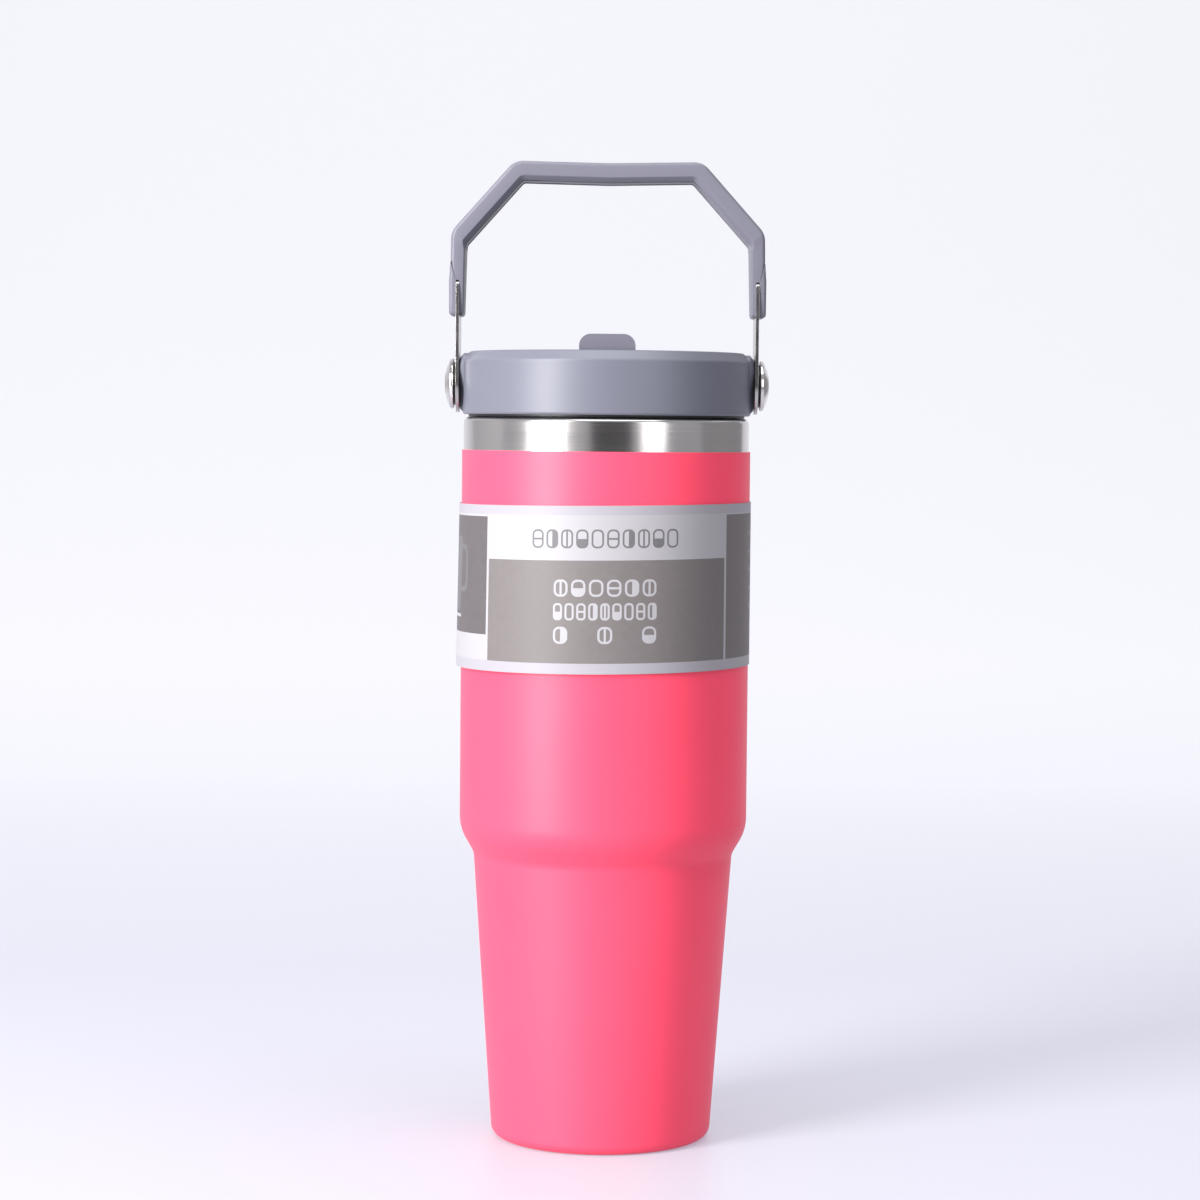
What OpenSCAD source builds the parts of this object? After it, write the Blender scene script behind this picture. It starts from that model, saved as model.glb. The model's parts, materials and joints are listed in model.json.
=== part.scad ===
// Vacuum-insulated tumbler with a screw lid, a flip-up drinking spout and a swinging carry handle.
// Millimetres. The origin is the centre of the foot ring, +Z is up and the spout folds towards -Y.

/* [Body] */
// Outside diameter of the coated upper body
body_d = 89; // [78:0.5:108]
// Height of the steel rim above the floor
body_h = 223.2; // [185:0.1:270]
// Diameter of the lower cone, carried down to the floor
base_d = 67.8; // [58:0.2:74]
// Diameter where the lower cone meets the shoulder
cone_top_d = 80.2; // [75:0.2:86]
// Height where the lower cone meets the shoulder
shoulder_z = 88.5; // [70:0.5:110]
// Angle of the shoulder from vertical
shoulder_angle = 30; // [20:1:45]
// Height of the bare steel band under the rim
band_h = 10.2; // [8:0.1:14]
// How far the bare band is set in from the coated body
band_step = 0.5; // [0.3:0.05:0.8]

/* [Walls] */
// Thickness of the outer steel wall
shell_t = 0.6; // [0.4:0.05:0.8]
// Thickness of the inner steel wall
liner_t = 0.6; // [0.4:0.05:0.8]
// Vacuum gap between the two walls
vacuum_gap = 3; // [2.2:0.1:4]
// Thickness of the powder coat
coat_t = 0.15; // [0.1:0.01:0.25]
// Height of the drinking space's floor
floor_z = 9.4; // [8.6:0.1:14]

/* [Sleeve] */
// Height of the printed sleeve
sleeve_h = 50; // [30:1:70]
// Height of the sleeve's middle above the floor
sleeve_mid_z = 172.1; // [150:0.5:185]
// Thickness of the sleeve
sleeve_t = 0.25; // [0.15:0.05:0.5]
// How far the sleeve's edges lean from level
sleeve_lean = 0.66; // [0:0.01:1.2]

/* [Lid] */
// Height of the lid's skirt and top together
lid_h = 19.3; // [18:0.1:24]
// Gap between the rim and the lid's skirt
lid_gap = 0.7; // [0.4:0.1:1.5]
// Thickness of the lid's skirt
skirt_t = 2.4; // [2:0.1:3]
// Depth of the threaded plug below the rim
plug_depth = 17.7; // [16:0.1:24]
// Rise of the lid in one turn
thread_lead = 5; // [4.8:0.1:6]
// Turns of each thread ridge
thread_turns = 1.25; // [1:0.05:1.5]

/* [Spout] */
// Width of the thumb tab
tab_w = 16.8; // [16:0.1:20]
// How far the thumb tab stands above the lid
tab_up = 4.8; // [3:0.1:7]
// Radius of the spout's hub
hub_r = 8; // [7.5:0.1:9]
// How far the hub's axis lies behind the middle of the lid
hub_back = 10; // [8:0.5:12]
// Bore of the drinking passage
passage_d = 6.5; // [5.5:0.1:7]
// Outside diameter of the straw
straw_d = 9; // [8.5:0.1:11]
// Wall of the straw
straw_t = 1; // [0.7:0.1:1.2]

/* [Handle] */
// Height of the handle above its pivots
handle_h = 67.9; // [62:0.1:82]
// Width of the grip band
grip_w = 20; // [18:0.1:25]
// Thickness of the grip across the top
grip_t = 5.7; // [5.2:0.1:6.4]
// Thickness of the grip's legs
leg_t = 4.4; // [4.2:0.1:4.8]
// Length of the flat stretch at the top of the grip
grip_flat = 57.4; // [48:0.1:68]
// Width of the steel straps
strap_w = 17.6; // [15:0.1:18]
// Thickness of the steel straps
strap_t = 1; // [0.7:0.05:1.2]
// Diameter of the round pivot caps
cap_d = 15.7; // [13:0.1:17]

/* [Hidden] */
$fn = 96;
eps = 0.02;
touch_gap = 0.05;      // between faces that turn or slide on each other
run_gap = 0.08;        // radial clearance of a pin that turns in a hole

coral = "#ff6f95";
steel = "#c9c8c6";
grey = "#9a9aab";
black = "#1b1b1d";
clear = "#e6e8ea";

// Body walls. An inset is measured square to the coated outside.
body_r = body_d / 2;
base_r = base_d / 2;
cone_top_r = cone_top_d / 2;
taper = atan((cone_top_r - base_r) / shoulder_z);
shoulder_top_z = shoulder_z + (body_r - cone_top_r) / tan(shoulder_angle);
shoulder_round = 14;
waist_round = 6;
foot_round = 3.3;
foot_w = 2.8;
foot_r = base_r - foot_round;
foot_in_r = foot_r - foot_w;
lip_h = 3;
coat_top_z = body_h - band_h;
band_r = body_r - band_step;
rim_round = 1.8;
weld_r = band_r - rim_round - 0.2;
shell_in = coat_t + shell_t;
liner_out = shell_in + vacuum_gap;
liner_in = liner_out + liner_t;
mouth_r = body_r - liner_in;

// Base, from the floor up.
plate_z = 2.2;
plate_t = 0.6;
dimple_r = 9;
dimple_up = 1.6;
plate_step = 0.7;
press_round = 0.6;
cover_r = 12;
cover_t = 0.5;
bead_r = 1.5;
bead_h = 0.9;
hole_r = 1;
getter_r = 6;
getter_t = 2;
holder_r = 7.5;
holder_t = 0.4;

// Thread: the ridge on the plug runs under the ridge in the mouth.
plug_gap = 1.55;
plug_r = mouth_r - plug_gap;
mouth_ridge_h = 0.9;
plug_ridge_h = plug_gap - 0.3;
ridge_root_w = 2.2;
ridge_crest_w = 0.9;
ridge_z = body_h - 12.2;
ridge_drop = 1.6;
ridge_steps = 75;
ridge_sink = 0.3;
ridge_fade = 0.08;

// Lid, from the rim up.
lid_r = body_r - 0.1;
lid_z = body_h + lid_gap;
lid_top_z = lid_z + lid_h;
lid_edge_w = 2.2;
lid_edge_h = 2.9;
rim_land = 3;
deck_z = lid_top_z - 1.6;
deck_t = 2.6;
skirt_in_r = lid_r - skirt_t;
rebate_r = skirt_in_r + 1;
rebate_z = body_h + 1.8;
flange_z = body_h + 1.5;
flange_t = 2;
plug_z = body_h - plug_depth;
plug_wall = 2.2;
plug_floor_t = 2;
plug_floor_z = plug_z + plug_floor_t;
gasket_in_r = plug_r + 0.3;
gasket_out_r = rebate_r - 0.4;

// Spout and its channel, with the spout folded down.
hub_z = lid_top_z - hub_r;
hub_w = tab_w - 0.4;
channel_w = tab_w + 1.2;
channel_wall = 2.4;
channel_front = skirt_in_r - 3.4;
channel_back = hub_back + hub_r + 1.4;
neck_half = 4.6;
channel_z = hub_z - neck_half - 0.6;
channel_floor_t = 2;
spout_tip = channel_front - 1;
tab_t = 3;
tab_corner = 3.5;
hub_gap = 0.3;
seal_gap = 0.12;
seal_r = 6.5;
seal_z = hub_z - hub_r - 4.8;
boss_floor_z = seal_z - 2.2;
port_wall = 2.4;
pin_r = 1.5;
pin_in = hub_w / 2 - 3;
pin_out = channel_w / 2 + channel_wall;
vent_front = 14;
vent_r = 1.25;
vent_neck_r = 2.4;
vent_neck_l = 1.8;
vent_flange_r = 4.2;
stub_l = 11.5;
straw_end_z = floor_z + 6;

// Pivots: everything is stacked outwards from the face of the lid's boss.
pivot_z = lid_z + 9.4;
boss_x = body_r + 0.6;
boss_top_half = 11;
boss_low_half = 4.2;
inner_washer_t = 0.25;
outer_washer_t = 0.5;
strap_x = boss_x + inner_washer_t + touch_gap;
outer_washer_x = strap_x + strap_t + touch_gap;
cap_x = outer_washer_x + outer_washer_t;
cap_t = 2.5;
cap_rim_t = 1.3;
head_r = 4;
head_h = 1.6;
head_gap = 0.15;
hex_r = 1.45;
shoulder_r = 3.2;
thread_r = 2;
insert_r = 3;
insert_l = 7;
inner_washer_r = cap_d / 2 - 0.5;
outer_washer_r = 0.42 * cap_d;

// Handle. The grip's legs hold the strap between their inner cheek and a cover.
cover_proud = 0.1;
leg_out_x = strap_x + strap_t + 1.5;
leg_splay = 0.55;
leg_end_z = pivot_z + 20.7;
knee_z = pivot_z + handle_h - 21.6;
bar_z = pivot_z + handle_h;
bar_dip = 0.55;
strap_top_z = leg_end_z + 10.8;
seam_z = leg_end_z + 17;
leg_lean = -atan(leg_splay / (knee_z - leg_end_z));
seam_x = leg_out_x + (seam_z - knee_z) * tan(leg_lean);
cover_x = leg_out_x + leg_splay + cover_proud;
leg_w = strap_w - 2.4;
grip_round = 1.3;
groove_w = 5;
groove_y = 5.5;
groove_h = 0.9;
bevel_w = 1.5;
bevel_h = 1.3;
leg_bevel_h = 0.4;
strap_pin_r = 2;
strap_pin_z = leg_end_z + 5.6;
strap_pin_y = 4.5;
strap_pin_in = 0.9;
strap_pin_out = 1.3;

// ---- outlines -------------------------------------------------------------------------------

function unit(v) = v / norm(v);
function at(v) = [v[0], v[1]];

// Points of a round corner at b, between a and c, or b itself where the radius is zero.
function corner(a, b, c, r, n) =
    r <= 0 ? [b] :
    let (u = unit(a - b), w = unit(c - b), half = acos(u * w) / 2,
         centre = b + unit(u + w) * r / sin(half), from = b + u * r / tan(half) - centre,
         start = atan2(from[1], from[0]), side = sign(u[0] * w[1] - u[1] * w[0]),
         turn = side * (180 - 2 * half))
    [for (i = [0:n]) centre + r * [cos(start - turn * i / n), sin(start - turn * i / n)]];

// A closed outline from corners given as [x, y] or [x, y, radius].
function outline(v, n = 6) =
    [for (i = [0:len(v) - 1])
        each corner(at(v[(i + len(v) - 1) % len(v)]), at(v[i]), at(v[(i + 1) % len(v)]),
                    v[i][2] == undef ? 0 : v[i][2], n)];

// The corner p between two walls that lean a and b from vertical, each moved in: by d, or the second by e.
function moved_in(p, a, b, d, e = undef) =
    let (na = [-cos(a), sin(a)], nb = [-cos(b), sin(b)], c = na * nb, f = e == undef ? d : e)
    p + ((d - f * c) * na + (f - d * c) * nb) / (1 - c * c);

function cone_r(z, d) = base_r + z * tan(taper) - d / cos(taper);
function waist(d) = moved_in([cone_top_r, shoulder_z], taper, shoulder_angle, d);
function brow(d) = moved_in([body_r, shoulder_top_z], shoulder_angle, 0, d);

// A corner list of [x, y, radius] from a point and a radius.
function rounded(p, r) = [p[0], p[1], r];

module revolve(corners, n = 6) rotate_extrude() polygon(outline(corners, n));

// Lays a shape drawn in the YZ plane across X, from x0 for length l.
module across(x0, l) translate([x0, 0, 0]) rotate([90, 0, 90]) linear_extrude(l) children();

// Turns a profile drawn as [radius, distance] about the X axis through the pivot.
module about_pivot() translate([0, 0, pivot_z]) rotate([0, 90, 0]) children();

module left() mirror([1, 0, 0]) children();

// A helical ridge: r0 at its root and r1 at its crest, rising by thread_lead a turn from z0.
module ridge(r0, r1, z0) {
    start = -90;
    function fade(s) = min(1, s / ridge_fade, (1 - s) / ridge_fade);
    function ring(i) =
        let (s = i / ridge_steps, a = start + s * thread_turns * 360,
             z = z0 + s * thread_turns * thread_lead,
             crest = r0 + (r1 - r0) * (0.15 + 0.85 * fade(s)))
        [for (p = [[r0, -ridge_root_w / 2], [crest, -ridge_crest_w / 2], [crest, ridge_crest_w / 2],
                   [r0, ridge_root_w / 2]]) [p[0] * cos(a), p[0] * sin(a), z + p[1]]];
    points = [for (i = [0:ridge_steps]) each ring(i)];
    inward = r1 < r0;
    sides = [for (i = [0:ridge_steps - 1], k = [0:3])
        let (a = 4 * i + k, b = 4 * i + (k + 1) % 4, c = b + 4, d = a + 4)
        each inward ? [[a, c, b], [a, d, c]] : [[a, b, c], [a, c, d]]];
    last = 4 * ridge_steps;
    ends = inward ? [[0, 1, 2], [0, 2, 3], [last, last + 2, last + 1], [last, last + 3, last + 2]]
                  : [[0, 2, 1], [0, 3, 2], [last, last + 1, last + 2], [last, last + 2, last + 3]];
    polyhedron(points, concat(sides, ends));
}

// ---- vessel ---------------------------------------------------------------------------------

module powder_coat() color(coral)
    revolve([[foot_r, 0], [base_r, 0, foot_round], rounded(waist(0), waist_round),
             rounded(brow(0), shoulder_round), [body_r, coat_top_z, coat_t / 2],
             [body_r - coat_t, coat_top_z],
             rounded(brow(coat_t), shoulder_round - coat_t), rounded(waist(coat_t), waist_round + coat_t),
             [cone_r(coat_t, coat_t), coat_t, foot_round - coat_t], [foot_r, coat_t]], 10);

module outer_shell() color(steel)
    revolve([[foot_in_r, 0, 0.4], [foot_r, 0], [foot_r, coat_t],
             [cone_r(coat_t, coat_t), coat_t, foot_round - coat_t],
             rounded(waist(coat_t), waist_round + coat_t), rounded(brow(coat_t), shoulder_round - coat_t),
             [body_r - coat_t, coat_top_z], [band_r, coat_top_z], [band_r, body_h, rim_round],
             [weld_r, body_h], [weld_r, body_h - shell_t],
             [band_r - shell_t, body_h - shell_t, rim_round - shell_t], [band_r - shell_t, coat_top_z - 1],
             [body_r - shell_in, coat_top_z - 2], rounded(brow(shell_in), shoulder_round - shell_in),
             rounded(waist(shell_in), waist_round + shell_in),
             [cone_r(shell_in, shell_in), shell_in, foot_round - shell_in],
             [foot_in_r + shell_t, shell_in], [foot_in_r + shell_t, lip_h], [foot_in_r, lip_h]], 10);

module inner_liner() color(steel) {
    low = floor_z - liner_t;
    floor_round = 8;
    revolve([[0, low], [cone_r(low, liner_out), low, floor_round + liner_t],
             rounded(waist(liner_out), waist_round + liner_out),
             rounded(brow(liner_out), shoulder_round - liner_out),
             [body_r - liner_out, body_h - liner_t], [weld_r, body_h - liner_t], [weld_r, body_h],
             [mouth_r, body_h, 1], rounded(brow(liner_in), shoulder_round - liner_in),
             rounded(waist(liner_in), waist_round + liner_in),
             [cone_r(floor_z, liner_in), floor_z, floor_round], [0, floor_z]], 10);
    ridge(mouth_r + ridge_sink, mouth_r - mouth_ridge_h, ridge_z);
}

// The pressed bottom: a disc with a stiffening step and a raised dimple round the evacuation hole.
module base_plate() color(steel)
    difference() {
        low = plate_z - plate_step;
        revolve([[0, plate_z + dimple_up], [dimple_r, plate_z + dimple_up, press_round],
                 [dimple_r + 1.2, plate_z, press_round], [foot_in_r - 3, plate_z, press_round],
                 [foot_in_r - 2, low, press_round], [foot_in_r, low], [foot_in_r, low + plate_t],
                 [foot_in_r - 2.2, low + plate_t, press_round],
                 [foot_in_r - 3.2, plate_z + plate_t, press_round],
                 [dimple_r + 1.5, plate_z + plate_t, press_round],
                 [dimple_r + 0.3, plate_z + plate_t + dimple_up, press_round],
                 [0, plate_z + plate_t + dimple_up]], 4);
        translate([0, 0, plate_z]) cylinder(r = hole_r, h = 2 * dimple_up + 1);
    }

// The bead that closes the evacuation hole: a plug in the hole with a dome under it.
module seal_bead() color("#3b4a3c") {
    translate([0, 0, plate_z + dimple_up - eps]) cylinder(r = hole_r, h = plate_t + eps);
    translate([0, 0, plate_z + dimple_up - bead_h]) cylinder(r = bead_r, h = bead_h);
}

module base_cover() color(steel)
    revolve([[0, plate_z - cover_t], [cover_r, plate_z - cover_t, 0.2], [cover_r, plate_z], [0, plate_z]], 3);

// The pellet that keeps the vacuum, in a holder welded under the liner's floor.
module getter() color("#6d6f72") {
    under = floor_z - liner_t;
    revolve([[0, under - getter_t], [getter_r, under - getter_t, 0.3], [getter_r, under - holder_t],
             [holder_r, under - holder_t], [holder_r, under], [0, under]], 3);
}

// A loose printed sleeve. It flares a little downwards, and its edges lean.
module label_sleeve() {
    slack_top = 0.35;
    slack_low = 0.75;
    lap_deg = 14;
    half = sleeve_h / 2;
    extra = 2;
    function slack(z) = slack_top + (slack_low - slack_top) * (half - z) / sleeve_h;
    function wall(z, t) = body_r + slack(z) + t;
    top = half + extra;
    color("#b9b4b4") translate([0, 0, sleeve_mid_z]) intersection() {
        union() {
            rotate_extrude()
                polygon([[wall(-top, 0), -top], [wall(-top, sleeve_t), -top], [wall(top, sleeve_t), top],
                         [wall(top, 0), top]]);
            rotate([0, 0, 90]) rotate_extrude(angle = lap_deg)
                polygon([[wall(-top, sleeve_t - eps), -top], [wall(-top, 2 * sleeve_t), -top],
                         [wall(top, 2 * sleeve_t), top], [wall(top, sleeve_t - eps), top]]);
        }
        rotate([0, -sleeve_lean, 0]) cube([2 * body_d, 2 * body_d, sleeve_h], center = true);
    }
}

module rim_gasket() color(black)
    revolve([[gasket_in_r, body_h + touch_gap, 0.3], [gasket_out_r, body_h + touch_gap, 0.3],
             [gasket_out_r, flange_z - touch_gap, 0.3], [gasket_in_r, flange_z - touch_gap, 0.3]], 3);

// ---- lid ------------------------------------------------------------------------------------

module lid_blank()
    revolve([[rebate_r, lid_z, 0.3], [lid_r, lid_z, 0.8], [lid_r, lid_top_z - lid_edge_h, 1.5],
             [lid_r - lid_edge_w, lid_top_z, 1], [lid_r - lid_edge_w - rim_land, lid_top_z, 0.8],
             [lid_r - lid_edge_w - rim_land - 1, deck_z, 0.6], [0, deck_z], [0, deck_z - deck_t],
             [skirt_in_r, deck_z - deck_t, 1.5], [skirt_in_r, rebate_z], [rebate_r, rebate_z]], 6);

// The shield-shaped pad that carries a pivot, seen along X. inset shrinks it for the bevelled face.
module boss_shape(inset)
    polygon(outline([[-boss_top_half + inset, lid_top_z - 0.6 - inset, 3],
                     [-boss_low_half + inset * 0.7, lid_z + 0.1 + inset, 3.2],
                     [boss_low_half - inset * 0.7, lid_z + 0.1 + inset, 3.2],
                     [boss_top_half - inset, lid_top_z - 0.6 - inset, 3]], 5));

module lid_boss() {
    bevel_x = 1.3;
    hull() {
        across(boss_x - bevel_x - 0.01, 0.01) boss_shape(0);
        across(boss_x - 0.01, 0.01) boss_shape(1.5);
    }
    across(skirt_in_r, boss_x - bevel_x - skirt_in_r) boss_shape(0);
    about_pivot() translate([0, 0, boss_x - insert_l - 2.5]) cylinder(r = insert_r + 2, h = insert_l);
}

module boss_bore() about_pivot() {
    translate([0, 0, boss_x - insert_l]) cylinder(r = insert_r, h = insert_l + 1);
    translate([0, 0, boss_x - insert_l - 1.5]) cylinder(r = thread_r + 0.2, h = 2);
}

// The outside of the channel's pan and of the socket under the hub.
module channel_pan() {
    half = channel_w / 2 + channel_wall;
    pan_l = skirt_in_r + channel_back + channel_wall;
    pan_h = deck_z - channel_z + channel_floor_t - 0.5;
    intersection() {
        union() {
            translate([-half, -skirt_in_r, channel_z - channel_floor_t]) cube([2 * half, pan_l, pan_h]);
            across(-half, 2 * half)
                translate([hub_back, hub_z]) circle(r = hub_r + hub_gap + channel_wall);
        }
        translate([0, 0, boss_floor_z]) cylinder(r = skirt_in_r + 0.5, h = deck_z - boss_floor_z - 0.3);
    }
    translate([0, hub_back, boss_floor_z]) cylinder(r = seal_r + port_wall, h = channel_z - boss_floor_z);
}

// The room in which the spout lies and turns.
module channel_room() {
    room_r = hub_r + hub_gap;
    translate([-channel_w / 2, -channel_front, channel_z])
        cube([channel_w, channel_front + hub_back, lid_h]);
    translate([-channel_w / 2, hub_back - 1, hub_z]) cube([channel_w, room_r + 1, lid_h]);
    across(-channel_w / 2, channel_w) translate([hub_back, hub_z]) circle(r = room_r);
}

module lid_shell() color(grey)
    difference() {
        union() {
            lid_blank();
            channel_pan();
            lid_boss();
            left() lid_boss();
        }
        channel_room();
        boss_bore();
        left() boss_bore();
        translate([0, 0, lid_z - 1]) cylinder(r = rebate_r, h = rebate_z - lid_z + 1);
        translate([-pin_out - 0.5, hub_back, hub_z]) rotate([0, 90, 0])
            cylinder(r = pin_r, h = 2 * pin_out + 1);
        translate([0, hub_back, seal_z]) cylinder(r = seal_r, h = hub_z - seal_z);
        translate([0, hub_back, boss_floor_z - 1]) cylinder(d = passage_d, h = 5);
        translate([0, -vent_front, channel_z - channel_floor_t - 1]) cylinder(r = vent_neck_r, h = 4);
        translate([0, -vent_front, channel_z - 0.8]) cylinder(r = vent_flange_r, h = 2);
    }

module lid_plug() color(clear) {
    difference() {
        union() {
            revolve([[0, plug_z], [plug_r, plug_z, 2], [plug_r, flange_z], [skirt_in_r, flange_z],
                     [skirt_in_r, flange_z + flange_t], [plug_r - plug_wall, flange_z + flange_t],
                     [plug_r - plug_wall, plug_floor_z, 2], [0, plug_floor_z]]);
            translate([0, hub_back, plug_floor_z - 1])
                cylinder(r = passage_d / 2 + port_wall, h = boss_floor_z - plug_floor_z + 1);
            translate([0, -vent_front, plug_floor_z - 1])
                cylinder(r = vent_neck_r + 1.6, h = channel_z - channel_floor_t - plug_floor_z + 1);
            translate([0, hub_back, plug_z - stub_l]) cylinder(d = straw_d - 2 * straw_t, h = stub_l + 1);
        }
        translate([0, hub_back, plug_floor_z]) cylinder(d = passage_d, h = lid_h);
        translate([0, hub_back, plug_z - stub_l - 1])
            cylinder(d = straw_d - 2 * straw_t - 1.6, h = stub_l + plug_floor_t + 2);
        translate([0, -vent_front, plug_z - 1]) cylinder(r = vent_r, h = lid_h + plug_depth);
        translate([0, -vent_front, channel_z - channel_floor_t - vent_neck_l])
            cylinder(r = vent_neck_r, h = vent_neck_l + 1);
    }
    ridge(plug_r - ridge_sink, plug_r + plug_ridge_h, ridge_z - ridge_drop);
}

// The soft ring on which the hub turns. Its top is hollowed to the hub.
module port_seal() color(clear)
    difference() {
        translate([0, hub_back, seal_z]) cylinder(r = seal_r, h = hub_z - seal_z - hub_r + 3.2);
        across(-seal_r - 1, 2 * seal_r + 2) translate([hub_back, hub_z]) circle(r = hub_r + seal_gap);
        translate([0, hub_back, seal_z - 1]) cylinder(d = passage_d, h = lid_h);
    }

// The grommet round the air hole. The folded spout lies just over it.
module vent_seal() color(black)
    translate([0, -vent_front, 0]) difference() {
        union() {
            translate([0, 0, channel_z - 0.8]) cylinder(r = vent_flange_r, h = 1.2);
            translate([0, 0, channel_z - channel_floor_t - vent_neck_l])
                cylinder(r = vent_neck_r, h = vent_neck_l + channel_floor_t);
        }
        translate([0, 0, channel_z - channel_floor_t - 3]) cylinder(r = vent_r, h = 6);
    }

module straw() color(clear)
    translate([0, hub_back, straw_end_z]) difference() {
        cylinder(d = straw_d, h = plug_z - straw_end_z);
        translate([0, 0, -1]) cylinder(d = straw_d - 2 * straw_t, h = plug_z - straw_end_z + 2);
    }

module spout_pin() color(steel)
    translate([pin_in, hub_back, hub_z]) rotate([0, 90, 0]) cylinder(r = pin_r, h = pin_out - pin_in);

// The folded spout: a hub across X, a neck that runs forward, and the thumb tab at its tip.
module spout() color(grey) {
    neck_w = tab_w - 2.2;
    tab_top = lid_top_z + tab_up;
    difference() {
        union() {
            across(-hub_w / 2, hub_w) translate([hub_back, hub_z]) circle(r = hub_r);
            across(-neck_w / 2, neck_w)
                polygon(outline([[hub_back, hub_z - neck_half], [-spout_tip, hub_z - neck_half, 1.5],
                                 [-spout_tip, hub_z + neck_half, 1],
                                 [-spout_tip + 8, hub_z + neck_half + 1, 4],
                                 [hub_back, hub_z + hub_r - 0.4]]));
            translate([0, -spout_tip + tab_t, 0]) rotate([90, 0, 0]) linear_extrude(tab_t)
                polygon(outline([[-tab_w / 2, hub_z, 3], [tab_w / 2, hub_z, 3],
                                 [tab_w / 2, tab_top, tab_corner], [-tab_w / 2, tab_top, tab_corner]], 8));
        }
        translate([0, hub_back + hub_r + 1, hub_z]) rotate([90, 0, 0])
            cylinder(d = passage_d, h = hub_back + hub_r + spout_tip + 2);
        for (side = [0, 1]) mirror([side, 0, 0])
            translate([pin_in - 0.2, hub_back, hub_z]) rotate([0, 90, 0])
                cylinder(r = pin_r + run_gap, h = hub_w);
    }
}

// ---- pivots ---------------------------------------------------------------------------------

module pivot_insert() color("#c9a24a") about_pivot()
    translate([0, 0, boss_x - insert_l]) difference() {
        cylinder(r = insert_r, h = insert_l);
        translate([0, 0, -1]) cylinder(r = thread_r, h = insert_l + 2);
    }

module pivot_screw() color(steel) about_pivot() {
    difference() {
        union() {
            translate([0, 0, boss_x - insert_l + 0.6])
                cylinder(r = thread_r, h = cap_x + cap_rim_t - boss_x + insert_l - 0.4);
            translate([0, 0, boss_x]) cylinder(r = shoulder_r, h = cap_x - boss_x);
            translate([0, 0, cap_x + cap_rim_t])
                revolve([[0, 0], [head_r, 0], [head_r, head_h - 0.4, 0.2], [head_r - 0.9, head_h, 0.8],
                         [0, head_h]], 5);
        }
        translate([0, 0, cap_x + cap_rim_t + 0.3]) cylinder(r = hex_r, h = head_h, $fn = 6);
    }
}

module pivot_cap() color(steel) about_pivot() translate([0, 0, cap_x])
    revolve([[thread_r, 0], [cap_d / 2 - 0.6, 0, 0.3], [cap_d / 2, 0.35, 0.25],
             [cap_d / 2 - 0.25, cap_rim_t, 0.6], [head_r + 0.8, cap_t, 1], [head_r + head_gap, cap_t],
             [head_r + head_gap, cap_rim_t], [thread_r, cap_rim_t]], 5);

module washer(x, r, t) color(black) about_pivot() translate([0, 0, x])
    difference() {
        cylinder(r = r, h = t);
        translate([0, 0, -1]) cylinder(r = shoulder_r, h = t + 2);
    }

module inner_washer() washer(boss_x, inner_washer_r, inner_washer_t);

module outer_washer() washer(outer_washer_x, outer_washer_r, outer_washer_t);

// ---- handle ---------------------------------------------------------------------------------

// Corners of the grip's arch seen along Y, from the right leg's end round to the left's. The top is moved in
// by d and the legs by e. level is the height at which the legs end.
function arch(d, e, level, knee_round, bar_round) =
    let (lean = atan((leg_out_x - grip_flat / 2) / (bar_z - knee_z)),
         knee = moved_in([leg_out_x, knee_z], leg_lean, -lean, e, d),
         bar = moved_in([grip_flat / 2, bar_z], -lean, -90, d),
         foot = leg_out_x + (level - knee_z) * tan(leg_lean) - e / cos(leg_lean))
    [[foot, level], [knee[0], knee[1], knee_round], [bar[0], bar[1], bar_round],
     [0, bar[1] - bar_dip, 60], [-bar[0], bar[1], bar_round], [-knee[0], knee[1], knee_round],
     [-foot, level]];

module arch_band(d0, e0, d1, e1, level)
    difference() {
        polygon(outline(arch(d0, e0, level, 6 - d0, 6 - d0), 8));
        polygon(outline(arch(d1, e1, level - 1, 1.6, 1.6), 8));
    }

// What the front bevel takes off round the inside of the arch. It runs on past the grip's front face.
module arch_bevel() {
    over = 0.5;
    more = 1 + over / bevel_w;
    back = outline(arch(grip_t, leg_t, leg_end_z - 1, 1.6, 1.6), 8);
    front = outline(arch(grip_t - more * bevel_h, leg_t - more * leg_bevel_h, leg_end_z - 1, 1.6, 1.6), 8);
    n = len(back);
    points = concat([for (p = back) [p[0], bevel_w - grip_w / 2, p[1]]],
                    [for (p = front) [p[0], -over - grip_w / 2, p[1]]]);
    sides = [for (i = [0:n - 1]) let (j = (i + 1) % n) each [[i, i + n, j + n], [i, j + n, j]]];
    polyhedron(points, concat([[for (i = [0:n - 1]) i], [for (i = [0:n - 1]) 2 * n - 1 - i]], sides));
}

// The grip seen along X: it narrows to the legs, with rounded edges.
module grip_side()
    polygon(outline([[-leg_w / 2, leg_end_z, 1.6], [leg_w / 2, leg_end_z, 1.6], [grip_w / 2, knee_z, 20],
                     [grip_w / 2, bar_z + 1, grip_round + 0.4], [-grip_w / 2, bar_z + 1, grip_round + 0.4],
                     [-grip_w / 2, knee_z, 20]]));

// The right strap cover seen along Y. Its sloped top is the seam with the grip.
function cover_corners() =
    [[strap_x + strap_t, leg_end_z, 0.3], [cover_x, leg_end_z, 1], [cover_x, strap_top_z, 8],
     [seam_x, seam_z], [strap_x + strap_t, strap_top_z]];

module strap_cover() color(grey)
    difference() {
        intersection() {
            rotate([90, 0, 0]) linear_extrude(grip_w, center = true) polygon(outline(cover_corners(), 4));
            across(0, body_d) grip_side();
        }
        strap_pin_solids();
    }

module strap_pin_solids()
    for (y = [-strap_pin_y, strap_pin_y])
        translate([strap_x - strap_pin_in, y, strap_pin_z]) rotate([0, 90, 0])
            cylinder(r = strap_pin_r, h = strap_t + strap_pin_in + strap_pin_out);

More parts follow.
